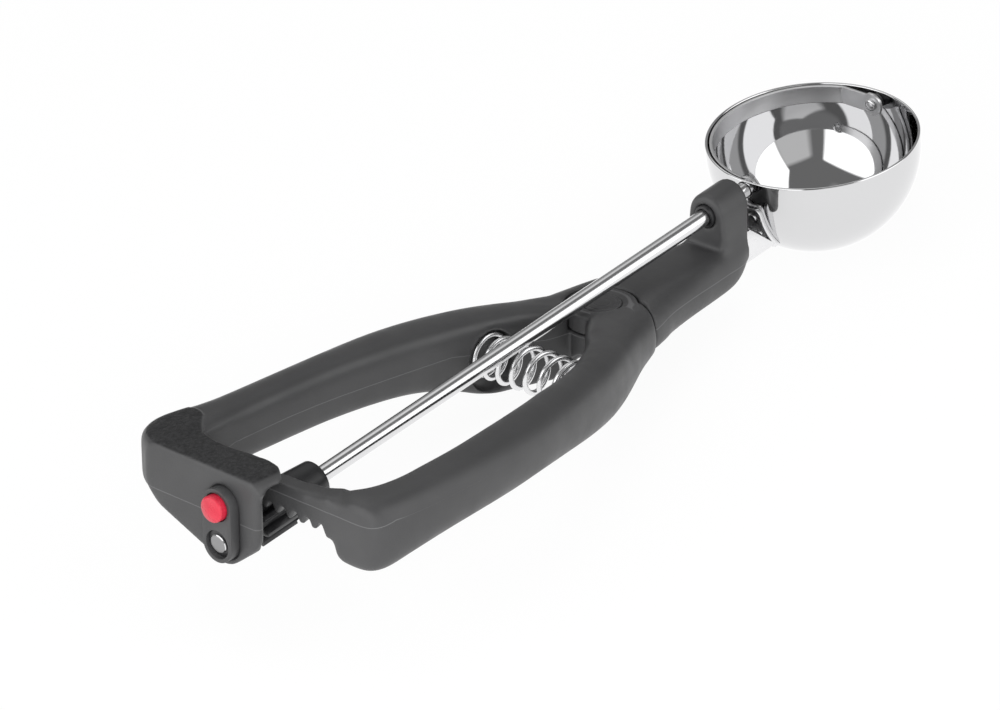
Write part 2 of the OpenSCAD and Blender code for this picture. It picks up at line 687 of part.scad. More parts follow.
module bowl() {
    steps = 24;
    edge = 0.25;
    outer = [for (i = [0:steps]) let (a = 90 * i / steps - 90) [bowl_r * cos(a), bowl_r * sin(a)]];
    inner = [for (i = [steps:-1:0]) let (a = 90 * i / steps - 90) [bowl_in_r * cos(a), bowl_in_r * sin(a)]];
    rim = [[bowl_r, rim_rise - edge], [bowl_r - edge, rim_rise], [bowl_in_r + edge, rim_rise], [bowl_in_r, rim_rise - edge]];
    color(STEEL) difference() {
        rotate_extrude($fn = 128) polygon(concat(outer, rim, inner));
        along_x(-bowl_r - 1, 0, shaft_r + 0.3);
        along_x(0, bowl_r + 1, far_pin_d / 2 + seat_gap);
    }
}

// Directions of the weld spots, as [turn about Z, drop below the horizon]
weld_places = [[-4, 15], [4, 15], [-4, 27], [4, 27]];

// Open channel from the bowl back into the front block, grown by gap; its walls slope down to the bowl
channel_len = 12;
channel_half = strap_w / 2 - 0.15;
channel_top = -8.5;
module tang(gap) {
    x0 = shaft_x(neck_reach) - channel_len - gap;
    floor_z = -channel_drop - gap;
    inner_half = channel_half - bracket_t - gap;
    difference() {
        translate([0, channel_half + gap, 0]) rotate([90, 0, 0]) linear_extrude(height = 2 * (channel_half + gap))
            polygon([
                [x0, floor_z], [-bowl_r + 8, floor_z], [-bowl_r + 4, floor_z + bracket_t],
                [shaft_x(neck_reach) + 1, channel_top + gap], [x0, channel_top + gap]
            ]);
        translate([x0 - 1, -inner_half, bracket_t + gap - channel_drop])
            cube([40, 2 * inner_half, channel_drop]);
    }
}

module bowl_bracket() {
    shell_r = bowl_r + 0.05;
    strap_z = -4.5;
    color(STEEL) difference() {
        union() {
            intersection() {
                sphere(r = shell_r + bracket_t, $fn = 128);
                translate([-bowl_r - 5, 0, 0]) rotate([90, 0, 90]) linear_extrude(height = bowl_r)
                    translate([2 - strap_w / 2, 2 - bracket_drop]) offset(r = 2)
                        square([strap_w - 4, bracket_drop + strap_z - 4]);
            }
            tang(0);
        }
        sphere(r = shell_r, $fn = 128);
        for (p = weld_places) weld(p, weld_d / 2 + seat_gap, 3);
    }
}

module weld(place, r, reach) {
    rotate([0, 0, 180 + place[0]]) rotate([0, 90 + place[1], 0])
        translate([0, 0, bowl_r + 0.06]) cylinder(h = reach, r = r, $fn = 24);
}

module weld_spots() {
    color(STEEL) for (p = weld_places) weld(p, weld_d / 2, bracket_t + 0.2);
}

module latch_block() {
    color(CHARCOAL) in_handle() difference() {
        latch_bar(latch_rear_u, latch_front_u, latch_r);
        along_u(latch_rear_u - 5, button_floor_u, 0, button_w, button_r + run_gap);
        along_u(latch_rear_u, latch_front_u + 5, 0, button_w, stem_r + 0.2);
        // Slot that the latch plate slides in, open at the top
        translate([plate_u - slot_gap, -plate_half - slot_gap, plate_low - 3.6])
            cube([plate_t + 2 * slot_gap, 2 * (plate_half + slot_gap), 40]);
        translate([pivot_back, 0, 0]) rear_bores();
    }
}

// Bores along the shaft, moved into the handle frame
module rear_bores() {
    translate([-pivot_back, 0, 0]) rotate([0, -handle_pitch, 0]) translate([pivot_back, 0, pivot_drop]) {
        along_x(shaft_rear_x - 5, groove_x - groove_w / 2 - 0.4, rear_bush_d / 2 + seat_gap);
        along_x(shaft_rear_x, shaft_rear_x + 20, shaft_r + 0.3);
    }
}

module release_button() {
    color(RED) in_handle() difference() {
        along_u(button_rear_u, button_rear_u + button_len, 0, button_w, button_r);
        along_u(button_rear_u + 1.6, button_rear_u + button_len + 1, 0, button_w, button_r - 1);
    }
    color(RED) in_handle() along_u(button_rear_u + 1, plate_u + plate_t - button_travel + 1, 0, button_w, stem_r);
}

module button_spring() {
    turns = 4;
    start_u = button_rear_u + 2;
    reach = button_floor_u - 0.3 - start_u;
    wire = 0.4;
    coil = 1.85;
    rings = [for (s = [0:turns * 14]) let (t = s / (turns * 14), a = 360 * turns * t) [for (i = [0:5])
        let (b = 60 * i, r = coil + wire / 2 * cos(b))
        [start_u + reach * t - wire / 2 * sin(b), r * cos(a), button_w + r * sin(a)]]];
    color(STEEL) in_handle() loft(rings);
}

module latch_plate() {
    color(STEEL) in_handle() translate([plate_u, 0, 0]) difference() {
        translate([0, -plate_half, plate_low]) cube([plate_t, 2 * plate_half, plate_high - plate_low]);
        translate([-1, -stem_r - 0.4, button_w - stem_r - latch_lift - 0.4])
            cube([5, 2 * stem_r + 0.8, 2 * stem_r + latch_lift + 0.8]);
    }
}

main_handle();
squeeze_lever();
pivot_pin();
pivot_cap();
pivot_washer();
return_spring();
shaft();
pinion();
drive_pin();
thrust_washer();
front_bush();
rear_bush();
scraper();
scraper_rivet();
scraper_pin();
pin_spacer();
bowl();
bowl_bracket();
weld_spots();
latch_block();
release_button();
button_spring();
latch_plate();
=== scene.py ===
"""Dressed model of a lever ice cream scoop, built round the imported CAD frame.

Units are metres. The origin is the bowl's centre on the shaft's axis, +X runs along the shaft away
from the handles and +Z out of the bowl's mouth. "Handle space" is (u, v, w): u forward along the
pitched handles, v = +Y and w up, with its zero on the lever's pivot.
"""
import math

import bmesh
import bpy
import numpy as np
from mathutils import Matrix, Vector


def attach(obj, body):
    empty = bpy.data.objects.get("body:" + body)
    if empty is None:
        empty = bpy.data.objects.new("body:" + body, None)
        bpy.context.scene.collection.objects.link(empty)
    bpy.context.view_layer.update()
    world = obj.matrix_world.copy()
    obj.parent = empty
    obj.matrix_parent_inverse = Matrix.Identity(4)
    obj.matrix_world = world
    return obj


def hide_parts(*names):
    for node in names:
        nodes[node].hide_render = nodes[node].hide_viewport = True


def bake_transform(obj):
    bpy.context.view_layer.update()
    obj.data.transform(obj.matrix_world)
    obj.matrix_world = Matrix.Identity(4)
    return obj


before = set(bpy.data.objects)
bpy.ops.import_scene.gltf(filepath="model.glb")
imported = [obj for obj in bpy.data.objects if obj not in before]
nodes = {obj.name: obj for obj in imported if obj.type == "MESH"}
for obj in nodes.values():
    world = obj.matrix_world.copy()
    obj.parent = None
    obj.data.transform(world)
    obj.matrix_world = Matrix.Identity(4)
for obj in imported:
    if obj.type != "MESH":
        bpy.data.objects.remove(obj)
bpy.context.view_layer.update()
scene = bpy.context.scene

MM = 0.001
PITCH = math.radians(7.5)
COS_P, SIN_P = math.cos(PITCH), math.sin(PITCH)
PIVOT = np.array([-86.5986, 0.0, -7.4]) * MM
HANDLE_AXES = np.array([[COS_P, 0, -SIN_P], [0, 1, 0], [SIN_P, 0, COS_P]])
# Unit vectors along the axes, of the row frame or of handle space
X, Y, Z = np.eye(3)

# Bowl, scraper and shaft, in millimetres of the row frame
BOWL_R, BOWL_WALL, RIM_Z = 28.5, 0.8, 2.8
BAND_R, BAND_T, BAND_HALF, BAND_EYE = 27.35, 0.8, 2.5, 3.2
TAB_X = 24.64
PIN_R, PIN_HEAD_R = 1.0, 1.6
RIVET_X, RIVET_T, RIVET_R = -26.4, 1.05, 2.7
SHAFT_R, TENON_R = 2.15, 1.5
SHAFT_REAR_X, TENON_X, SHAFT_FRONT_X = -227.034, -27.38, -25.5
HEAD_R, HEAD_T, HEAD_DOME = 2.55, 0.8, 0.25
GROOVE_X, GROOVE_HALF, GROOVE_R = -219.43, 0.8, 1.5

# Housing, button and pivot, in handle space
REAR_U = -137.7
HOUSING_TOP = 8.0
LATCH_R, LATCH_PROUD = 4.75, 2.5
LATCH_LOW_W, BUTTON_W = -10.994, -0.894
BUTTON_R, BUTTON_PROUD = 3.7, 2.5
STEM_R, STEM_END_U = 1.1, -132.8
CAP_R, CAP_TOP, CAP_FLOOR = 5.2, 3.0, 1.8
KNUCKLE_DROP = 3.8
FIELD_STEP = 0.42

# Springs, in handle space; the return spring runs from SPRING_LEFT to SPRING_RIGHT along v
SPRING_AXIS = (-29.0, -4.9)
SPRING_SLOPE = 1 / 33
SPRING_LEFT, SPRING_RIGHT = 14.25, -18.45
SPRING_TURNS, SPRING_START = 8, 28
SPRING_WIRE, SPRING_COIL_R = 1.4, 5.6
BUTTON_SPRING = (-139.87, -135.13)
BUTTON_WIRE, BUTTON_COIL_R = 0.4, 1.85

# Front edge of the housing's top plate, as (u, v) points along +v
PLATE_FRONT = [
    (-131, -12.7), (-128.6, -11), (-126.6, -8), (-125.9, -4.5), (-126.1, 1), (-127, 7),
    (-127, 13), (-125.6, 18.4), (-122.5, 21.6), (-119, 24.5), (-118, 27),
]


def to_row(points):
    """Handle space in millimetres to the row frame in metres: pivot + u, v and w along their axes."""
    return PIVOT + np.asarray(points, float) @ HANDLE_AXES * MM


def to_handle(points):
    """Row frame in metres to handle space in millimetres."""
    return (np.asarray(points, float) - PIVOT) @ HANDLE_AXES.T / MM


# ---------------------------------------------------------------- meshes

def shade(mesh, sharp_angle=None):
    """Smooth shading; edges that turn by more than an angle in degrees stay sharp."""
    mesh.shade_smooth()
    if sharp_angle is not None:
        mesh.set_sharp_from_angle(angle=math.radians(sharp_angle))


def make_piece(name, verts, faces, sharp_angle=None):
    """A mesh object at the origin from vertex and face arrays."""
    mesh = bpy.data.meshes.new(name)
    mesh.from_pydata(np.asarray(verts, float).tolist(), [], [tuple(int(i) for i in f) for f in faces])
    mesh.validate()
    shade(mesh, sharp_angle)
    piece = bpy.data.objects.new(name, mesh)
    scene.collection.objects.link(piece)
    return piece


def grid_faces(rows, cols, wrap_rows=False, wrap_cols=False):
    """Quads of a rows by cols grid of points; a wrapped direction joins its last to its first."""
    i = np.arange(rows if wrap_rows else rows - 1)
    j = np.arange(cols if wrap_cols else cols - 1)
    a, b = np.meshgrid(i, j, indexing="ij")
    a, b = a.ravel(), b.ravel()
    c, d = (a + 1) % rows, (b + 1) % cols
    return np.stack([a * cols + b, a * cols + d, c * cols + d, c * cols + b], 1)


def turned_points(profile, axis, side, count):
    """A profile of (along, radius) points turned round an axis through the origin.

    A point lies at along * axis + radius * (cos * side + sin * (axis x side)).
    """
    turn = np.linspace(0, 2 * math.pi, count, endpoint=False)
    ring = np.cos(turn)[:, None] * side + np.sin(turn)[:, None] * np.cross(axis, side)
    return (profile[:, None, :1] * axis + profile[:, None, 1:] * ring[None]).reshape(-1, 3)


def end_fans(rings, count):
    """Triangles from a tube's first and last ring to the two end points listed after the rings."""
    here = np.arange(count)
    beside = (here + 1) % count
    last = (rings - 1) * count
    first_end = np.stack([np.full(count, rings * count), beside, here], 1)
    last_end = np.stack([np.full(count, rings * count + 1), last + here, last + beside], 1)
    return [*first_end, *last_end]


def revolve(profile, axis, side, count=96):
    """Closed solid of revolution; the profile's two ends lie on the axis and become poles."""
    profile = np.asarray(profile, float)
    poles = profile[[0, -1], :1] * axis
    verts = np.vstack([turned_points(profile[1:-1], axis, side, count), poles])
    rings = len(profile) - 2
    return verts, [*grid_faces(rings, count, wrap_cols=True), *end_fans(rings, count)]


def ring_of_revolution(profile, axis, side, count=96):
    """Closed ring: a closed profile of (along, radius) points turned round the axis."""
    profile = np.asarray(profile, float)
    faces = grid_faces(len(profile), count, wrap_rows=True, wrap_cols=True)
    return turned_points(profile, axis, side, count), faces


def arc(cx, cy, r, a0, a1, steps):
    """Points of a circular arc round (cx, cy) from angle a0 to a1 in degrees."""
    a = np.radians(np.linspace(a0, a1, steps))
    return np.stack([cx + r * np.cos(a), cy + r * np.sin(a)], 1)


def outward(piece):
    """Merges doubles and turns all faces outwards."""
    work = bmesh.new()
    work.from_mesh(piece.data)
    bmesh.ops.remove_doubles(work, verts=work.verts, dist=1e-7)
    bmesh.ops.recalc_face_normals(work, faces=work.faces)
    work.to_mesh(piece.data)
    work.free()
    return piece


def turned_piece(name, profile, sharp_angle, count=64):
    """Solid of revolution round the shaft's axis, from a profile in millimetres."""
    verts, faces = revolve(profile, X, Y, count)
    return outward(make_piece(name, verts * MM, faces, sharp_angle))


def bevel(piece, width, angle):
    """Eases edges that turn by more than an angle in degrees, by a width in millimetres."""
    edge = piece.modifiers.new("edge", "BEVEL")
    edge.width = width * MM
    edge.segments = 2
    edge.limit_method = "ANGLE"
    edge.angle_limit = math.radians(angle)


def bake(piece):
    """Replaces the piece's mesh with the result of its modifiers."""
    graph = bpy.context.evaluated_depsgraph_get()
    mesh = bpy.data.meshes.new_from_object(piece.evaluated_get(graph))
    piece.modifiers.clear()
    piece.data = mesh


# ---------------------------------------------------------------- materials

def new_material(name, color, rough, metallic=0.0):
    """Principled material with plain values; returns it with its node tree and shader."""
    mat = bpy.data.materials.new(name)
    mat.use_nodes = True
    shader = mat.node_tree.nodes["Principled BSDF"]
    shader.inputs["Base Color"].default_value = (*color, 1)
    shader.inputs["Roughness"].default_value = rough
    shader.inputs["Metallic"].default_value = metallic
    return mat, mat.node_tree, shader


def link_noise(tree, scale, detail, stretch=(1, 1, 1)):
    """Noise on the piece's own coordinates in metres, drawn out where stretch is below 1."""
    where = tree.nodes.new("ShaderNodeTexCoord")
    mapping = tree.nodes.new("ShaderNodeMapping")
    mapping.inputs["Scale"].default_value = stretch
    noise = tree.nodes.new("ShaderNodeTexNoise")
    noise.inputs["Scale"].default_value = scale
    noise.inputs["Detail"].default_value = detail
    tree.links.new(where.outputs["Object"], mapping.inputs["Vector"])
    tree.links.new(mapping.outputs["Vector"], noise.inputs["Vector"])
    return noise.outputs["Fac"]


def remap(tree, value, low, high, to_low, to_high):
    """Map Range from (low, high) to (to_low, to_high)."""
    node = tree.nodes.new("ShaderNodeMapRange")
    node.inputs["From Min"].default_value = low
    node.inputs["From Max"].default_value = high
    node.inputs["To Min"].default_value = to_low
    node.inputs["To Max"].default_value = to_high
    tree.links.new(value, node.inputs["Value"])
    return node.outputs["Result"]


def spread(tree, noise, low, high):
    """Noise with its middle, from 0.3 to 0.7, spread from low to high."""
    return remap(tree, noise, 0.3, 0.7, low, high)


def add_bump(tree, shader, height, strength, distance, before=None):
    """Bump from a height output, chained after another bump's normal if given."""
    bump = tree.nodes.new("ShaderNodeBump")
    bump.inputs["Strength"].default_value = strength
    bump.inputs["Distance"].default_value = distance
    tree.links.new(height, bump.inputs["Height"])
    if before is not None:
        tree.links.new(before, bump.inputs["Normal"])
    tree.links.new(bump.outputs["Normal"], shader.inputs["Normal"])
    return bump.outputs["Normal"]


def mix_color(tree, factor, a, b):
    """Colour between a and b, each an output or a colour, by a factor output."""
    node = tree.nodes.new("ShaderNodeMix")
    node.data_type = "RGBA"
    colors = [socket for socket in node.inputs if socket.type == "RGBA"]
    for socket, value in zip(colors, (a, b)):
        if isinstance(value, tuple):
            socket.default_value = (*value, 1)
        else:
            tree.links.new(value, socket)
    tree.links.new(factor, node.inputs["Factor"])
    return [socket for socket in node.outputs if socket.type == "RGBA"][0]


def math_node(tree, operation, a, b=None):
    """Math node; each input is an output to link or a plain number."""
    node = tree.nodes.new("ShaderNodeMath")
    node.operation = operation
    for socket, value in zip(node.inputs, (a, b)):
        if value is None:
            continue
        if isinstance(value, (int, float)):
            socket.default_value = value
        else:
            tree.links.new(value, socket)
    return node.outputs["Value"]


def dot_product(tree, vector, constant):
    """Dot product of a vector output and a constant vector."""
    node = tree.nodes.new("ShaderNodeVectorMath")
    node.operation = "DOT_PRODUCT"
    tree.links.new(vector, node.inputs[0])
    node.inputs[1].default_value = tuple(float(c) for c in constant)
    return node.outputs["Value"]


def vertex_value(tree, name):
    """Value that the mesh's points carry under a name."""
    node = tree.nodes.new("ShaderNodeAttribute")
    node.attribute_name = name
    return node.outputs["Fac"]


def charcoal_plastic(name, seam=True, field=False):
    """Moulded plastic: spark-eroded grain, soft wear and the thin raised seam where the mould parted.

    The vertex value "seam" is the height above the seam in millimetres, multiplied up where the seam
    ends, and a painted highlight pales the colour along the seam. On the handle, the housing's label
    field, marked by the vertex values "edge" and "field", is darker and coarser, and a painted highlight
    pales its edge a little.
    """
    mat, tree, shader = new_material(name, (0.03, 0.03, 0.031), 0.42)
    tone = link_noise(tree, scale=45, detail=3)
    body = mix_color(tree, spread(tree, tone, 0, 1), (0.03, 0.03, 0.031), (0.038, 0.038, 0.039))
    rough = spread(tree, link_noise(tree, scale=160, detail=4), 0.4, 0.5)
    grain = link_noise(tree, scale=2600, detail=2)
    normal = add_bump(tree, shader, grain, strength=0.3, distance=0.00008)
    painted_highlight = None
    if seam:
        away = math_node(tree, "ABSOLUTE", vertex_value(tree, "seam"))
        ridge = remap(tree, away, 0.03, 0.16, 1, 0)
        normal = add_bump(tree, shader, ridge, strength=0.5, distance=0.00006, before=normal)
        # Painted highlight: the seam's raised ridge is paled in colour, beside its real bump
        painted_highlight = math_node(tree, "MULTIPLY", ridge, 0.3)
    if field:
        mark = vertex_value(tree, "field")
        coarse = link_noise(tree, scale=1000, detail=3)
        pitted = mix_color(tree, remap(tree, coarse, 0.35, 0.65, 0, 1),
                           (0.008, 0.008, 0.0085), (0.024, 0.024, 0.025))
        body = mix_color(tree, math_node(tree, "MULTIPLY", mark, 0.9), body, pitted)
        rough = math_node(tree, "ADD", rough, math_node(tree, "MULTIPLY", mark, 0.12))
        tree.links.new(remap(tree, mark, 0, 1, 0.5, 0.28), shader.inputs["Specular IOR Level"])
        pits = math_node(tree, "MULTIPLY", coarse, mark)
        add_bump(tree, shader, pits, strength=0.7, distance=0.0004, before=normal)
        # Painted highlight: the label field's rounded edge is paled a little
        from_edge = math_node(tree, "ABSOLUTE", vertex_value(tree, "edge"))
        rim = math_node(tree, "MULTIPLY", remap(tree, from_edge, 0.1, 0.8, 1, 0), 0.1)
        painted_highlight = math_node(tree, "MAXIMUM", painted_highlight, rim)
    # Both painted highlights pale the body colour towards light grey
    if painted_highlight is not None:
        body = mix_color(tree, painted_highlight, body, (0.2, 0.2, 0.205))
    tree.links.new(body, shader.inputs["Base Color"])
    tree.links.new(rough, shader.inputs["Roughness"])
    return mat


def black_plastic():
    """Smooth black plastic of the bushes, the pinion and the spacer."""
    mat, tree, shader = new_material("black_moulding", (0.012, 0.012, 0.013), 0.33)
    wear = link_noise(tree, scale=300, detail=3)
    tree.links.new(spread(tree, wear, 0.28, 0.42), shader.inputs["Roughness"])
    grain = link_noise(tree, scale=1500, detail=2)
    add_bump(tree, shader, grain, strength=0.15, distance=0.00005)
    return mat


def red_plastic():
    """Glossy red plastic of the button."""
    mat, tree, shader = new_material("red_button", (0.43, 0.014, 0.034), 0.3)
    tone = link_noise(tree, scale=250, detail=2)
    body = mix_color(tree, spread(tree, tone, 0, 1), (0.4, 0.012, 0.03), (0.46, 0.016, 0.038))
    tree.links.new(body, shader.inputs["Base Color"])
    wear = link_noise(tree, scale=900, detail=3)
    tree.links.new(spread(tree, wear, 0.24, 0.36), shader.inputs["Roughness"])
    add_bump(tree, shader, wear, strength=0.12, distance=0.00006)
    return mat


def polished_steel(name, rough, stretch=(1, 1, 1), level=0.62, bump=0.04):
    """Stainless steel: very fine polishing marks, drawn out where stretch is below 1."""
    mat, tree, shader = new_material(name, (level, level, level * 1.01), rough[0], 1.0)
    marks = link_noise(tree, scale=900, detail=3, stretch=stretch)
    tree.links.new(spread(tree, marks, *rough), shader.inputs["Roughness"])
    add_bump(tree, shader, marks, strength=bump, distance=0.00003)
    return mat


HANDLE_PLASTIC = charcoal_plastic("handle_moulding", field=True)
LEVER_PLASTIC = charcoal_plastic("lever_moulding")
BLOCK_PLASTIC = charcoal_plastic("block_moulding", seam=False)
BLACK = black_plastic()
RED = red_plastic()
BOWL_STEEL = polished_steel("bowl_steel", (0.03, 0.06))
BAND_STEEL = polished_steel("band_steel", (0.3, 0.35), (0.03, 0.03, 1), level=0.68, bump=0.02)
BRACKET_STEEL = polished_steel("bracket_steel", (0.26, 0.34), level=0.78)
ROD_STEEL = polished_steel("rod_steel", (0.12, 0.18), (0.05, 1, 1), level=0.68)
SMALL_STEEL = polished_steel("fastener_steel", (0.14, 0.24), level=0.66)
# Painted shade: the turned end's steel is much darker than the rod's, to dim the bright panel it
# reflects
TURNED_END = polished_steel("turned_end", (0.4, 0.52), (1, 0.1, 1), level=0.3)
WIRE = polished_steel("drawn_wire", (0.22, 0.3), level=0.75, bump=0.05)


def paint(piece, mat):
    """Gives a piece one material."""
    piece.data.materials.clear()
    piece.data.materials.append(mat)


def finish_piece(piece, body, mat, node):
    """Material, body and the CAD node that the piece stands for."""
    paint(piece, mat)
    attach(piece, body)
    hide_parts(node)


# ---------------------------------------------------------------- mouldings
#
# The weights below are products of ramps, whose limits are millimetres of handle space.

def soften(points, edges, weight, rounds):
    """Laplacian smoothing: each round moves a point half its weight towards its neighbours' mean."""
    n = len(points)
    a, b = edges.T
    degree = np.bincount(edges.ravel(), minlength=n)[:, None].clip(1)
    for _ in range(rounds):
        total = [np.bincount(a, column[b], n) + np.bincount(b, column[a], n) for column in points.T]
        points = points + 0.5 * weight[:, None] * (np.stack(total, 1) / degree - points)
    return points


def moulding(name, node, voxel, passes):
    """Moulded body: the CAD solid sampled on a grid along its own axes and smoothed into fillets.

    voxel is in millimetres. passes holds pairs of a weight function of handle space, where 1 smooths
    fully, and a number of rounds. Returns the piece and its points in handle space.
    """
    piece = bpy.data.objects.new(name, nodes[node].data.copy())
    scene.collection.objects.link(piece)
    outward(piece)
    place_points(piece.data, to_handle(read_points(piece.data)))
    skin = piece.modifiers.new("skin", "REMESH")
    skin.mode = "VOXEL"
    skin.voxel_size = voxel
    bake(piece)
    mesh = piece.data
    points = read_points(mesh)
    edges = np.empty(len(mesh.edges) * 2, np.int32)
    mesh.edges.foreach_get("vertices", edges)
    edges = edges.reshape(-1, 2)
    for weight, rounds in passes:
        points = soften(points, edges, weight(points), rounds)
    place_points(mesh, to_row(points))
    mesh.shade_smooth()
    return piece, points


def read_points(mesh):
    """Vertex positions as an array of rows."""
    co = np.empty(len(mesh.vertices) * 3, np.float32)
    mesh.vertices.foreach_get("co", co)
    return co.reshape(-1, 3).astype(float)


def place_points(mesh, points):
    """Sets the vertex positions from an array of rows."""
    mesh.vertices.foreach_set("co", np.asarray(points, np.float32).ravel())
    mesh.update()


def ramp(x, low, high):
    """0 below low, 1 above high, and a smooth step between."""
    t = np.clip((x - low) / (high - low), 0, 1)
    return t * t * (3 - 2 * t)


def all_over(h):
    """Full smoothing everywhere."""
    return np.ones(len(h))


def off_spring(h, side):
    """0 round the spring's seat on one side, 1 elsewhere."""
    u, v, w = h.T
    far = ramp(np.hypot(u - SPRING_AXIS[0], w - SPRING_AXIS[1]), 8, 11)
    inner = ramp(side * v, 14, 18) if side > 0 else ramp(-v, 20, 24)
    return np.maximum(far, inner)


def handle_soft(h):
    """Full smoothing on the fixed grip, the neck and the front block's foot, none elsewhere."""
    u, v, w = h.T
    grip = ramp(u, -117, -108) * (1 - ramp(u, -16, -10)) * ramp(v, 4, 7) * off_spring(h, 1)
    neck = ramp(u, 10, 14) * (1 - ramp(u, 33, 38))
    lower = ramp(u, 10, 14) * (1 - ramp(w, 1, 4)) * (1 - ramp(u, 46, 50))
    foot = ramp(u, 36, 39) * (1 - ramp(u, 50, 51)) * ramp(np.abs(v), 5, 6) * (1 - ramp(w, 5, 8))
    return np.max([grip, neck, lower, foot], 0)


def latch_distance(v, w):
    """Distance in the rear face from the line between the latch block's two centres."""
    return np.hypot(v, w - np.clip(w, LATCH_LOW_W, BUTTON_W))


def rear_soft(h):
    """Full smoothing on the rear wall's outer edges, none beside the latch block or inside."""
    u, v, w = h.T
    outer = 1 - ramp(u, REAR_U + 1.2, REAR_U + 2.6)
    side = (1 - ramp(v, -10.5, -9.5)) * (1 - ramp(u, REAR_U + 5.5, REAR_U + 8))
    return np.maximum(outer, side) * ramp(latch_distance(v, w), LATCH_R + 1.1, LATCH_R + 2.2)


def lever_soft(h):
    """Full smoothing on the lever's grip, none on the rack arm, the knuckle and the spring's seat."""
    u, v, w = h.T
    grip = ramp(-v, 24, 28) * (1 - ramp(u, -10, -5))
    front = ramp(-v, 10, 13) * ramp(u, -60, -50) * (1 - ramp(u, 1, 4))
    return np.maximum(grip, front) * off_spring(h, -1)


def arm_join(h):
    """Full smoothing where the rack arm leaves the lever's grip, above its teeth; light in the notch."""
    u, v, w = h.T
    notch = (1 - ramp(u, -122, -118)) * ramp(-v, 21, 25) * ramp(w, 3.5, 5)
    return (1 - ramp(u, -108, -104)) * ramp(-v, 17, 20) * ramp(w, -1.5, 1) * (1 - 0.75 * notch)


def lever_gentle(h):
    """Light smoothing on the rack's teeth, full elsewhere."""
    u, v, w = h.T
    teeth = ramp(v, -26, -24) * (1 - ramp(u, -119, -117)) * (1 - ramp(w, 0, 2))
    return 1 - 0.65 * teeth


def plate_edge(u, v):
    """Distance behind the top plate's front edge, in the plane of the plate: positive on the plate."""
    edge_u, edge_v = np.array(PLATE_FRONT, float).T
    slope = np.diff(edge_u) / np.diff(edge_v)
    middles = (edge_v[1:] + edge_v[:-1]) / 2
    return (np.interp(v, edge_v, edge_u) - u) / np.hypot(1, np.interp(v, middles, slope))


# Parting lines of the moulds as (u, w) points; the lever's fades out in front of LEVER_SEAM_END
HANDLE_SEAM = (
    (-137, -4.6), (-134, -4.6), (-114, 0), (-95, 0), (-42, -1.6), (-35, -3.2), (-15, -4.2), (10, -0.75),
)
LEVER_SEAM = ((-130, 1), (-122, 3))
LEVER_SEAM_END = -121


def seam_height(h, line):
    """Height above a parting line that runs straight between its (u, w) points."""
    line = np.array(line, float)
    return h[:, 2] - np.interp(h[:, 0], line[:, 0], line[:, 1])


def mark_points(piece, name, values):
    """Gives the piece's points a value under a name, for its material."""
    layer = piece.data.attributes.new(name, "FLOAT", "POINT")
    layer.data.foreach_set("value", np.asarray(values, np.float32))


def lift(h, height):
    """Handle-space points moved up along w, each by its own height."""
    return h + height[:, None] * Z


def deepen_knuckle(h):
    """Draws the fixed grip's underside beside the knuckle down by KNUCKLE_DROP, off the pin's seat."""
    u, v, w = h.T
    along = ramp(u, -62, -24) * (1 - ramp(u, -16, 8))
    across = ramp(v, -1, 3) * (1 - ramp(v, 10, 21)) * ramp(np.hypot(u, v), 6, 11)
    return lift(h, -KNUCKLE_DROP * along * across * ramp(-w, 2, 11))


def raise_label_field(piece, h):
    """Sinks the grip in front of the label field, so that the field stands proud, and marks the field.

    At the field's edge the surface falls in a smooth step 0.6 mm wide. At a distance of d mm in front
    of the edge the grip lies FIELD_STEP * exp(-d / 4) lower than before.
    """
    u, v, w = h.T
    inside = plate_edge(u, v)
    near = ramp(w, 6.4, 7.2) * ramp(u, -145, -144) * (1 - ramp(u, -108, -104)) * ramp(v, 12, 15)
    fall = FIELD_STEP * np.exp(np.minimum(inside, 0) / 4) * (1 - ramp(inside, -0.3, 0.3))
    place_points(piece.data, to_row(lift(h, -near * fall)))
    on_top = ramp(w, HOUSING_TOP - 0.8, HOUSING_TOP - 0.25)
    lowest_edge, far_from_edge = 6.6, 9.0
    mark_points(piece, "edge", np.where(w > lowest_edge, inside, far_from_edge))
    mark_points(piece, "field", ramp(inside, 0, 0.5) * on_top)


HANDLE_VOXEL, LEVER_VOXEL = 0.43, 0.38
HANDLE_PASSES = ((all_over, 7), (rear_soft, 26), (handle_soft, 90))
handle, points = moulding("handle_moulding", "main_handle", HANDLE_VOXEL, HANDLE_PASSES)
points = deepen_knuckle(points)
raise_label_field(handle, points)
mark_points(handle, "seam", seam_height(points, HANDLE_SEAM))
finish_piece(handle, "handle", HANDLE_PLASTIC, "main_handle")

LEVER_PASSES = ((lever_gentle, 7), (arm_join, 50), (lever_soft, 120))
lever, points = moulding("lever_moulding", "squeeze_lever", LEVER_VOXEL, LEVER_PASSES)
fade = 1 + np.maximum(0, points[:, 0] - LEVER_SEAM_END)
mark_points(lever, "seam", seam_height(points, LEVER_SEAM) * fade)
finish_piece(lever, "lever", LEVER_PLASTIC, "squeeze_lever")


# ---------------------------------------------------------------- bowl and scraper

def cut(piece, *cutters):
    """Boolean difference of the piece and closed cutters, which are then removed."""
    for cutter in cutters:
        mod = piece.modifiers.new("cut", "BOOLEAN")
        mod.operation = "DIFFERENCE"
        mod.solver = "EXACT"
        mod.object = cutter
    bake(piece)
    for cutter in cutters:
        bpy.data.objects.remove(cutter)


def rod(name, x0, x1, r):
    """Plain cylinder along the shaft's axis, in millimetres."""
    return turned_piece(name, [(x0, 0), (x0, r), (x1, r), (x1, 0)], 40, 48)


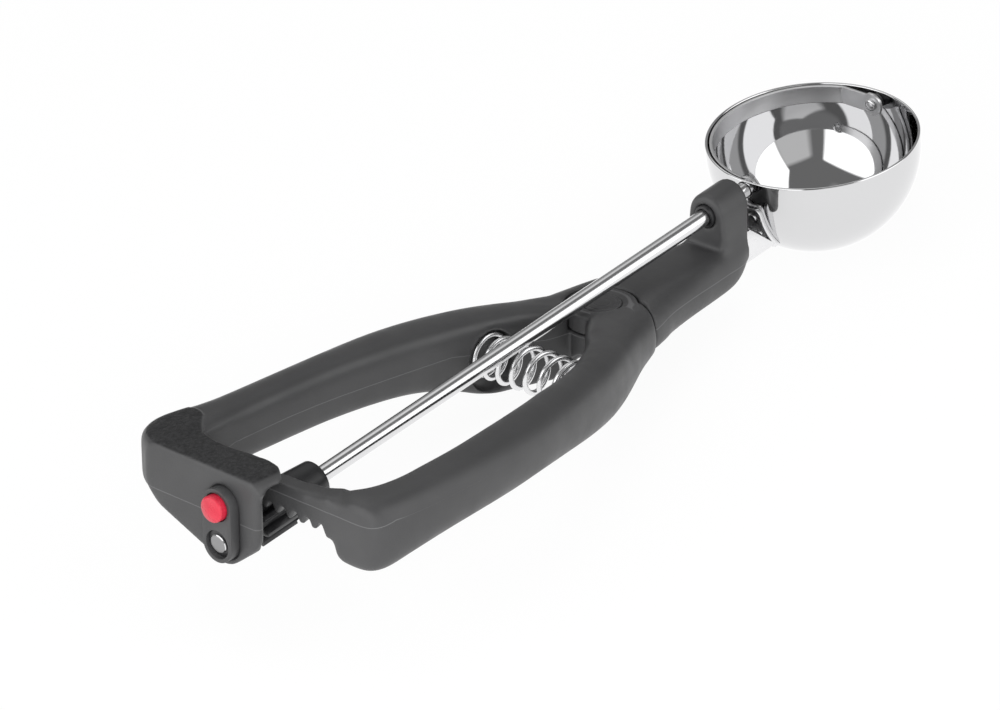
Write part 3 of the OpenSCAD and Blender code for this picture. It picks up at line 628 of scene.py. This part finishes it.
def bowl_shell():
    """Bowl: outer and inner quarter circles joined over a rounded rim, turned about +Z."""
    inner, edge = BOWL_R - BOWL_WALL, BOWL_WALL / 2
    wall_z = 1.2
    rim = arc(BOWL_R - edge, RIM_Z - edge, edge, 0, 180, 9)
    points = np.vstack([arc(0, 0, BOWL_R, -90, 0, 49), [[BOWL_R, wall_z]], rim,
                        [[inner, wall_z]], arc(0, 0, inner, 0, -90, 49)])
    verts, faces = revolve(points[:, ::-1], Z, X, 192)
    piece = outward(make_piece("bowl_shell", verts * MM, faces))
    shaft_gap, pin_gap = 0.25, 0.03
    inside, outside = 20, BOWL_R + 2
    shaft_hole = rod("shaft_hole", -outside, -inside, SHAFT_R + shaft_gap)
    pin_hole = rod("pin_hole", inside, outside, PIN_R + pin_gap)
    cut(piece, shaft_hole, pin_hole)
    shade(piece.data, 40)
    return piece


finish_piece(bowl_shell(), "handle", BOWL_STEEL, "bowl")


def scraper_band():
    """Scraper: a strip carried along a half circle round the bowl, then down a flat tab to the far pin.

    Along the path the half width is BAND_HALF, and each end closes with a circle of radius BAND_EYE
    round the axis. Across, the strip bends with the sphere on the arc and is flat on the tab.
    """
    mid_r = BAND_R - BAND_T / 2
    tab_mid = TAB_X + BAND_T / 2
    bend = 2.0
    stop = math.acos((tab_mid - bend) / (mid_r - bend))
    turn = np.linspace(math.pi + BAND_EYE / mid_r, stop, 150)
    arc_path = np.stack([mid_r * np.cos(turn), mid_r * np.sin(turn)], 1)
    fillet = np.linspace(stop, 0, 12)
    corner_middle = np.array([tab_mid - bend, (mid_r - bend) * math.sin(stop)])
    corner = corner_middle + bend * np.stack([np.cos(fillet), np.sin(fillet)], 1)
    down = np.linspace(corner[-1, 1], -BAND_EYE, 40)[1:]
    tab = np.stack([np.full(len(down), tab_mid), down], 1)
    path = np.vstack([arc_path, corner[1:], tab])

    step = np.hypot(*np.diff(path, axis=0).T)
    along = np.concatenate([[0], np.cumsum(step)])
    to_end = np.minimum(along, along[-1] - along)
    eye = np.sqrt(np.clip(BAND_EYE ** 2 - (to_end - BAND_EYE) ** 2, 0, None))
    half = np.maximum(eye, np.where(to_end > BAND_EYE, BAND_HALF, 0)).clip(0.02)

    tangent = np.gradient(path, axis=0)
    tangent /= np.linalg.norm(tangent, axis=1)[:, None]
    normal = np.stack([-tangent[:, 1], tangent[:, 0]], 1)
    inward = np.sign((normal * -path).sum(1))[:, None] * normal
    z = half[:, None] * np.linspace(-1, 1, 17)
    on_arc = (np.arange(len(path)) < len(arc_path)).astype(float)
    sag = (mid_r - np.sqrt(mid_r ** 2 - z ** 2)) * on_arc[:, None]
    xy = path[:, None, :] + sag[..., None] * inward[:, None, :]
    verts = np.concatenate([xy, z[..., None]], 2).reshape(-1, 3)

    piece = make_piece("scraper_band", verts * MM, grid_faces(*z.shape))
    wall = piece.modifiers.new("sheet", "SOLIDIFY")
    wall.thickness = BAND_T * MM
    wall.offset = 0
    wall.use_even_offset = True
    bevel(piece, 0.15, 50)
    bake(piece)
    outward(piece)
    shade(piece.data, 50)
    return piece


finish_piece(scraper_band(), "drive", BAND_STEEL, "scraper")


def rivet_head():
    """Rivet head along the shaft's axis: its rear half a rim, its front half a dome."""
    half = RIVET_T / 2
    rim = [(RIVET_X, 0), (RIVET_X, RIVET_R)]
    dome = [(RIVET_X + half + half * math.sin(t), RIVET_R * math.cos(t))
            for t in np.linspace(0, math.pi / 2, 14)]
    return turned_piece("scraper_rivet_head", rim + dome, 45)


finish_piece(rivet_head(), "drive", SMALL_STEEL, "scraper_rivet")


def far_pin():
    """Far pin: a flat domed head inside the bowl, a stem, and a domed head outside it."""
    r = PIN_HEAD_R
    inner_rim, inner_dome = 0.6, 0.4
    outer_rim, outer_dome = 0.35, 0.5
    rear, front = TAB_X - 0.1, BOWL_R + 0.1
    profile = [(TAB_X - inner_rim + inner_dome * x, r * y) for x, y in arc(0, 0, 1, 180, 90, 10)]
    profile += [(rear, r), (rear, PIN_R), (front, PIN_R), (front, r)]
    profile += [(BOWL_R + outer_rim + outer_dome * x, r * y) for x, y in arc(0, 0, 1, 90, 0, 10)]
    return turned_piece("far_pin", profile, 45)


finish_piece(far_pin(), "handle", SMALL_STEEL, "scraper_pin")

# ---------------------------------------------------------------- shaft, bushes and button

def shaft_rod():
    """Shaft: a slightly domed head, the latch groove, the long polished rod and the thin tenon."""
    x0, chamfer = SHAFT_REAR_X, 0.2
    dome = [(x0 + HEAD_DOME * (1 - math.cos(t)), (HEAD_R - chamfer) * math.sin(t))
            for t in np.linspace(0, math.pi / 2, 9)]
    head = [(x0 + HEAD_DOME + chamfer, HEAD_R), (x0 + HEAD_T, HEAD_R), (x0 + HEAD_T, SHAFT_R)]
    rear, front = GROOVE_X - GROOVE_HALF, GROOVE_X + GROOVE_HALF
    groove = [(rear, SHAFT_R), (rear, GROOVE_R), (front, GROOVE_R), (front, SHAFT_R)]
    tenon = [(TENON_X, SHAFT_R), (TENON_X, TENON_R), (SHAFT_FRONT_X - 0.1, TENON_R),
             (SHAFT_FRONT_X, TENON_R - 0.15), (SHAFT_FRONT_X, 0)]
    piece = turned_piece("shaft_rod", dome + head + groove + tenon, 30, 96)
    finish_piece(piece, "drive", ROD_STEEL, "shaft")
    # The domed end takes the darker steel, a painted shade
    piece.data.materials.append(TURNED_END)
    centres = np.empty(len(piece.data.polygons) * 3, np.float32)
    piece.data.polygons.foreach_get("center", centres)
    on_dome = centres[::3] < (x0 + HEAD_DOME + 0.02) * MM
    piece.data.polygons.foreach_set("material_index", on_dome.astype(np.int32))


shaft_rod()


def bush(name, node, x0, x1, r):
    """Plain bush on the shaft with eased edges."""
    ease, corner = 0.3, 0.09
    bore = SHAFT_R + 0.05
    profile = [
        (x0, bore + ease), (x0, r - ease), (x0 + corner, r - corner), (x0 + ease, r),
        (x1 - ease, r), (x1 - corner, r - corner), (x1, r - ease), (x1, bore + ease),
        (x1 - ease, bore), (x0 + ease, bore),
    ]
    verts, faces = ring_of_revolution(profile, X, Y)
    piece = outward(make_piece(name, verts * MM, faces, 35))
    finish_piece(piece, "handle", BLACK, node)


bush("front_bush_ring", "front_bush", x0=-45.07, x1=-33.18, r=3.1)
bush("rear_bush_ring", "rear_bush", x0=-226.18, x1=-220.73, r=3.7)


def button_cap():
    """Release button: a domed face that rolls over into a skirt, and the stem inside it.

    At radius r the face lies crown * (r / face_r)^2 further in than at its middle, and an arc of
    radius roll takes its slope over to the skirt.
    """
    rear = REAR_U - LATCH_PROUD - BUTTON_PROUD
    crown, roll = 0.55, 0.7
    floor, skirt_end, skirt_bore = rear + 2.4, rear + 6, 2.7
    face_r = BUTTON_R - roll
    dome = [(rear + crown * (r / face_r) ** 2, r) for r in np.linspace(0, face_r, 14)]
    slope = math.atan(2 * crown / face_r)
    turn = np.linspace(slope, math.pi / 2, 9)[1:]
    along = rear + crown + roll * (math.cos(slope) - np.cos(turn))
    radius = face_r + roll * (np.sin(turn) - math.sin(slope))
    skirt = [(skirt_end, radius[-1]), (skirt_end, skirt_bore), (floor, skirt_bore)]
    stem = [(floor, STEM_R), (STEM_END_U, STEM_R), (STEM_END_U, 0)]
    verts, faces = revolve([*dome, *zip(along, radius), *skirt, *stem], X, Y, 72)
    piece = outward(make_piece("button_cap", to_row(verts + BUTTON_W * Z), faces, 50))
    finish_piece(piece, "button", RED, "release_button")


button_cap()


def pivot_disc():
    """Cap over the pivot pin: a disc with an eased rim, a shallow groove and a fine ring in its middle.

    At distance r from its centre the top lies at CAP_TOP - 0.12 exp(-((r - 4.2) / 0.22)^2)
    - 0.05 exp(-((r - 2.2) / 0.15)^2).
    """
    ease = 0.35
    r = np.linspace(0, CAP_R - ease, 70)
    face = CAP_TOP - 0.12 * np.exp(-((r - 4.2) / 0.22) ** 2) - 0.05 * np.exp(-((r - 2.2) / 0.15) ** 2)
    rim = arc(CAP_TOP - ease, CAP_R - ease, ease, 0, 90, 7)[1:]
    profile = np.vstack([np.stack([face, r], 1), rim, [[CAP_FLOOR, CAP_R], [CAP_FLOOR, 0]]])
    verts, faces = revolve(profile, Z, X)
    piece = outward(make_piece("pivot_disc", to_row(verts), faces, 60))
    finish_piece(piece, "lever", BLOCK_PLASTIC, "pivot_cap")


pivot_disc()

# ---------------------------------------------------------------- CAD nodes that keep their shape

def ease(node, mat, width):
    """CAD node with merged corners, edges eased by a width in millimetres, and its material."""
    piece = nodes[node]
    weld = piece.modifiers.new("merge", "WELD")
    weld.merge_threshold = 0.001 * MM
    bevel(piece, width, 30)
    paint(piece, mat)
    shade(piece.data, 30)


EASED_NODES = (
    ("pinion", BLACK, 0.12),
    ("drive_pin", SMALL_STEEL, 0.1),
    ("thrust_washer", SMALL_STEEL, 0.1),
    ("pin_spacer", BLACK, 0.1),
    ("bowl_bracket", BRACKET_STEEL, 0.15),
    ("weld_spots", BRACKET_STEEL, 0.1),
    ("latch_block", BLOCK_PLASTIC, 0.4),
    ("latch_plate", SMALL_STEEL, 0.1),
    ("pivot_pin", SMALL_STEEL, 0.1),
    ("pivot_washer", SMALL_STEEL, 0.1),
)
for node, mat, width in EASED_NODES:
    ease(node, mat, width)


# ---------------------------------------------------------------- springs

def spring_path(per_turn=56):
    """Centre line of the return spring's coil in handle space.

    With t in turns, the angle is SPRING_START - 360 t degrees and the coil runs along -v at an even
    pitch, apart from one closed turn at each end. Its axis rises by SPRING_SLOPE times the run.
    """
    last = SPRING_TURNS
    closed = SPRING_WIRE * 1.1
    length = SPRING_LEFT - SPRING_RIGHT - SPRING_WIRE
    turn = np.linspace(0, last, last * per_turn + 1)
    run = np.interp(turn, [0, 1, last - 1, last], [0, closed, length - closed, length])
    a = np.radians(SPRING_START) - 2 * math.pi * turn
    v = SPRING_LEFT - SPRING_WIRE / 2 - run
    u, w = SPRING_AXIS
    return np.stack([u + SPRING_COIL_R * np.cos(a), v,
                     w - v * SPRING_SLOPE + SPRING_COIL_R * np.sin(a)], 1)


def wire_tube(path, middle, r, sides=14):
    """Tube of radius r round a path: rings on the frame of tangent, coil radius and their cross product.

    middle is the coil's axis, a point for each point of the path.
    """
    tangent = np.gradient(path, axis=0)
    tangent /= np.linalg.norm(tangent, axis=1)[:, None]
    radial = path - middle
    radial -= (radial * tangent).sum(1)[:, None] * tangent
    radial /= np.linalg.norm(radial, axis=1)[:, None]
    other = np.cross(tangent, radial)
    a = np.linspace(0, 2 * math.pi, sides, endpoint=False)
    ring = np.cos(a)[None, :, None] * radial[:, None] + np.sin(a)[None, :, None] * other[:, None]
    tube = (path[:, None] + r * ring).reshape(-1, 3)
    crown = r * 0.25
    ends = [path[0] - tangent[0] * crown, path[-1] + tangent[-1] * crown]
    n = len(path)
    return np.vstack([tube, *ends]), [*grid_faces(n, sides, wrap_cols=True), *end_fans(n, sides)]


def return_spring():
    """Return spring: a coil of wire from the handle's seat towards the lever's."""
    u, w = SPRING_AXIS
    path = spring_path()
    v = path[:, 1]
    middle = np.stack([0 * v + u, v, w - v * SPRING_SLOPE], 1)
    verts, faces = wire_tube(path, middle, SPRING_WIRE / 2)
    piece = outward(make_piece("return_spring_wire", to_row(verts), faces, 60))
    paint(piece, WIRE)
    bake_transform(piece)
    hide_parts("return_spring")


def button_spring(turns=4):
    """Spring of the button: even turns along u."""
    first, last = BUTTON_SPRING
    t = np.linspace(0, 1, turns * 40 + 1)
    a = 2 * math.pi * turns * t
    u = first + (last - first) * t
    path = np.stack([u, BUTTON_COIL_R * np.cos(a), BUTTON_W + BUTTON_COIL_R * np.sin(a)], 1)
    middle = np.stack([u, 0 * u, 0 * u + BUTTON_W], 1)
    verts, faces = wire_tube(path, middle, BUTTON_WIRE / 2, 8)
    piece = outward(make_piece("button_spring_wire", to_row(verts), faces, 60))
    paint(piece, WIRE)
    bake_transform(piece)
    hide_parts("button_spring")


button_spring()
return_spring()

# ---------------------------------------------------------------- stage, light and camera

FLOOR_Z, FLOOR_HALF = -0.0286, 6
# Share of plain white in the floor, seen directly and in mirrors, and its extra level in mirrors
FLOOR_SEEN, FLOOR_MIRRORED, MIRROR_GAIN = 0.93, 0.85, 0.2


def stage_floor():
    """Wide floor under the bowl: almost white, with a faint soft shadow, also in reflections."""
    corners = [(-1, -1), (1, -1), (1, 1), (-1, 1)]
    verts = [(FLOOR_HALF * x, FLOOR_HALF * y, FLOOR_Z) for x, y in corners]
    floor = make_piece("floor", verts, [(0, 1, 2, 3)])
    mat = bpy.data.materials.new("floor_white")
    mat.use_nodes = True
    tree = mat.node_tree
    tree.nodes.clear()
    out = tree.nodes.new("ShaderNodeOutputMaterial")
    diffuse = tree.nodes.new("ShaderNodeBsdfDiffuse")
    diffuse.inputs["Color"].default_value = (0.86, 0.86, 0.86, 1)
    glow = tree.nodes.new("ShaderNodeEmission")
    glow.inputs["Color"].default_value = (1, 1, 1, 1)
    ray = tree.nodes.new("ShaderNodeLightPath")
    mix = tree.nodes.new("ShaderNodeMixShader")
    kinds = ("Camera", "Glossy", "Transmission")
    camera, glossy, through = (ray.outputs[f"Is {kind} Ray"] for kind in kinds)
    seen = math_node(tree, "MULTIPLY", camera, FLOOR_SEEN)
    mirrored = math_node(tree, "MAXIMUM", glossy, through)
    share = math_node(tree, "MAXIMUM", seen, math_node(tree, "MULTIPLY", mirrored, FLOOR_MIRRORED))
    level = math_node(tree, "ADD", math_node(tree, "MULTIPLY", mirrored, MIRROR_GAIN), 1.0)
    tree.links.new(share, mix.inputs["Fac"])
    tree.links.new(level, glow.inputs["Strength"])
    tree.links.new(diffuse.outputs[0], mix.inputs[1])
    tree.links.new(glow.outputs[0], mix.inputs[2])
    tree.links.new(mix.outputs[0], out.inputs["Surface"])
    paint(floor, mat)


stage_floor()

# Soft panels of the studio: heading in degrees from +X, limits of the sideways and of the upright
# tangent, softness of the edges and level; the ceiling has no heading
PANELS = (
    (175, (-1.25, 0.62), (-0.05, 1.27), 0.05, 1.75),
    (-40, (-1.33, 0.06), (-0.05, 1.97), 0.06, 1.65),
    (-110, (-0.46, 0.32), (-0.05, 1.03), 0.08, 0.5),
    (45, (-2.0, 2.0), (-0.05, 1.1), 0.3, 0.12),
)
ROOM_LEVEL = 0.2
CEILING = ((-0.3, 0.95), (0.15, 1.6), 0.12, 0.75)


def between(tree, value, low, high, soft):
    """1 where the value lies between low and high, with soft edges."""
    up = remap(tree, value, low - soft, low + soft, 0, 1)
    down = remap(tree, value, high - soft, high + soft, 1, 0)
    return math_node(tree, "MULTIPLY", up, down)


def panel_light(tree, direction, normal, side, up, side_limits, up_limits, soft, level):
    """Level of a flat panel: a direction's two tangents against its normal lie within their limits."""
    ahead = dot_product(tree, direction, normal)
    front = math_node(tree, "MAXIMUM", ahead, 0.001)
    a = math_node(tree, "DIVIDE", dot_product(tree, direction, side), front)
    b = math_node(tree, "DIVIDE", dot_product(tree, direction, up), front)
    inside_a = between(tree, a, *side_limits, soft)
    inside_b = between(tree, b, *up_limits, soft)
    mask = math_node(tree, "MULTIPLY", inside_a, inside_b)
    mask = math_node(tree, "MULTIPLY", mask, math_node(tree, "GREATER_THAN", ahead, 0.01))
    return math_node(tree, "MULTIPLY", mask, level)


def studio_world():
    """Grey room with soft panels as light and in reflections; plain white for the camera."""
    world = bpy.data.worlds.new("studio")
    scene.world = world
    world.use_nodes = True
    tree = world.node_tree
    tree.nodes.clear()
    out = tree.nodes.new("ShaderNodeOutputWorld")
    ray = tree.nodes.new("ShaderNodeLightPath")
    where = tree.nodes.new("ShaderNodeTexCoord")
    direction = where.outputs["Generated"]
    total = panel_light(tree, direction, Z, X, Y, *CEILING)
    for heading, *panel in PANELS:
        h = math.radians(heading)
        normal, side = (math.cos(h), math.sin(h), 0), (-math.sin(h), math.cos(h), 0)
        total = math_node(tree, "ADD", total, panel_light(tree, direction, normal, side, Z, *panel))
    total = math_node(tree, "ADD", total, ROOM_LEVEL)
    room = tree.nodes.new("ShaderNodeBackground")
    room.inputs["Color"].default_value = (1, 1, 1, 1)
    tree.links.new(total, room.inputs["Strength"])
    white = tree.nodes.new("ShaderNodeBackground")
    white.inputs["Color"].default_value = (1, 1, 1, 1)
    mix = tree.nodes.new("ShaderNodeMixShader")
    tree.links.new(ray.outputs["Is Camera Ray"], mix.inputs["Fac"])
    tree.links.new(room.outputs[0], mix.inputs[1])
    tree.links.new(white.outputs[0], mix.inputs[2])
    tree.links.new(mix.outputs[0], out.inputs["Surface"])


studio_world()


def soft_box(name, place, target, size, watts):
    """Rectangular area light at place, aimed at target, hidden from mirrors."""
    data = bpy.data.lights.new(name, "AREA")
    data.shape = "RECTANGLE"
    data.size, data.size_y = size
    data.energy = watts
    lamp = bpy.data.objects.new(name, data)
    scene.collection.objects.link(lamp)
    aim = Vector(target) - Vector(place)
    lamp.matrix_world = Matrix.Translation(place) @ aim.to_track_quat("-Z", "Y").to_matrix().to_4x4()
    lamp.visible_glossy = False


MIDDLE = (-0.1, 0.0, 0.0)
soft_box("top", (-0.3, -0.1, 1.3), MIDDLE, (1.0, 1.0), 4)
soft_box("front", (-1.0, -0.8, 0.35), MIDDLE, (1.0, 0.8), 15)


def add_camera():
    """Camera that looks at the origin from an azimuth and elevation, rolled and moved in its own plane.

    The angles are degrees, the focal length is in pixels of a render 1000 pixels wide, the rest metres.
    """
    azimuth, elevation, roll = (math.radians(a) for a in (-44.88, 31.47, -6.465))
    focal, render_width = 5693.0, 1000
    distance, move_right, move_up = 1.502, -0.0826, -0.0557
    flat = math.cos(elevation)
    back = Vector((math.sin(azimuth) * flat, -math.cos(azimuth) * flat, math.sin(elevation)))
    side = Vector((math.cos(azimuth), math.sin(azimuth), 0))
    up = back.cross(side)
    right = math.cos(roll) * side + math.sin(roll) * up
    top = -math.sin(roll) * side + math.cos(roll) * up
    data = bpy.data.cameras.new("camera")
    data.sensor_fit = "HORIZONTAL"
    data.sensor_width = 36.0
    data.lens = focal * data.sensor_width / render_width
    data.clip_start, data.clip_end = 0.05, 50
    camera = bpy.data.objects.new("camera", data)
    scene.collection.objects.link(camera)
    place = back * distance + right * move_right + top * move_up
    turn = Matrix((right, top, back)).transposed().to_4x4()
    camera.matrix_world = Matrix.Translation(place) @ turn
    scene.camera = camera


add_camera()
scene.view_settings.view_transform = "Standard"
